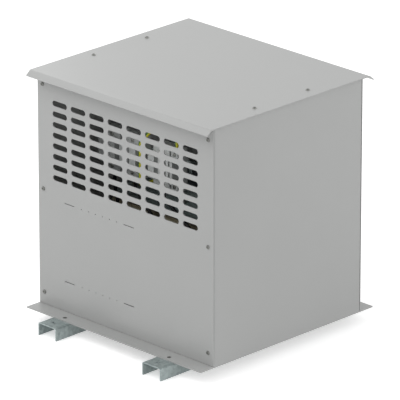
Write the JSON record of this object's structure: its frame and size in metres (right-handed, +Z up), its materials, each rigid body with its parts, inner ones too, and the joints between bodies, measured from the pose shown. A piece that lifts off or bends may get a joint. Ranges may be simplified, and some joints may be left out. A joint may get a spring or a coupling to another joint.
{
  "type": "dry type transformer",
  "caption": "Dry-type transformer in a ventilated grey sheet-steel enclosure with a slotted grille, drip-edged roof, flanged base plate and galvanised mounting channels.",
  "frame": {"origin": "on the floor under the middle of the enclosure, at the level of the channels' lower edges", "axes": "+Z up, -Y out of the slotted front panel, +X to the right seen from the front; the channels run along Y"},
  "size_m": [0.513, 0.576, 0.5389],
  "materials": {
    "painted_sheet": "semi-gloss light grey powder coat",
    "galvanised_steel": "spangled hot-dip galvanised sheet",
    "plated_screws": "zinc plated",
    "core_steel": "varnished edges of stacked electrical steel",
    "glass_fibre_board": "glass-fibre laminate",
    "bobbin_plastic": "glass-filled polyamide",
    "lv_insulation": "varnished aramid wrap",
    "hv_insulation": "varnished pressboard and tape wrap",
    "terminal_plastic": "moulded polyamide",
    "lead_sheath": "insulated cable",
    "earth_sheath": "yellow and green insulated cable",
    "tinned_copper": "tinned"
  },
  "bodies": {
    "root": {"base_plate": "painted_sheet", "side_panel_left": "painted_sheet", "side_panel_right": "painted_sheet", "front_panel": "painted_sheet", "rear_panel": "painted_sheet", "roof_panel": "painted_sheet", "channel_left": "galvanised_steel", "channel_right": "galvanised_steel", "lower_clamp_front": "galvanised_steel", "lower_clamp_rear": "galvanised_steel", "upper_clamp_front": "galvanised_steel", "upper_clamp_rear": "galvanised_steel", "rail_brackets_front": "galvanised_steel", "rail_brackets_rear": "galvanised_steel", "terminal_rail_front": "galvanised_steel", "terminal_rail_rear": "galvanised_steel", "front_panel_screws": "plated_screws", "rear_panel_screws": "plated_screws", "roof_screws": "plated_screws", "ledge_screws": "plated_screws", "enclosure_nuts": "plated_screws", "flange_screws": "plated_screws", "flange_nuts": "plated_screws", "clamp_studs": "plated_screws", "stud_washers": "plated_screws", "stud_nuts": "plated_screws", "foot_bolts": "plated_screws", "foot_washers": "plated_screws", "foot_nuts": "plated_screws", "rail_screws": "plated_screws", "bracket_screws": "plated_screws", "earth_screw": "plated_screws", "core": "core_steel", "stud_tubes": "glass_fibre_board", "duct_spacers_left": "glass_fibre_board", "duct_spacers_centre": "glass_fibre_board", "duct_spacers_right": "glass_fibre_board", "bobbin_left": "bobbin_plastic", "bobbin_centre": "bobbin_plastic", "bobbin_right": "bobbin_plastic", "lv_winding_left": "lv_insulation", "lv_winding_centre": "lv_insulation", "lv_winding_right": "lv_insulation", "hv_winding_left": "hv_insulation", "hv_winding_centre": "hv_insulation", "hv_winding_right": "hv_insulation", "primary_terminals": "terminal_plastic", "secondary_terminals": "terminal_plastic", "earth_terminal": "terminal_plastic", "primary_leads": "lead_sheath", "secondary_leads": "lead_sheath", "earth_lead": "earth_sheath", "earth_lug": "tinned_copper"}
  },
  "joints": []
}
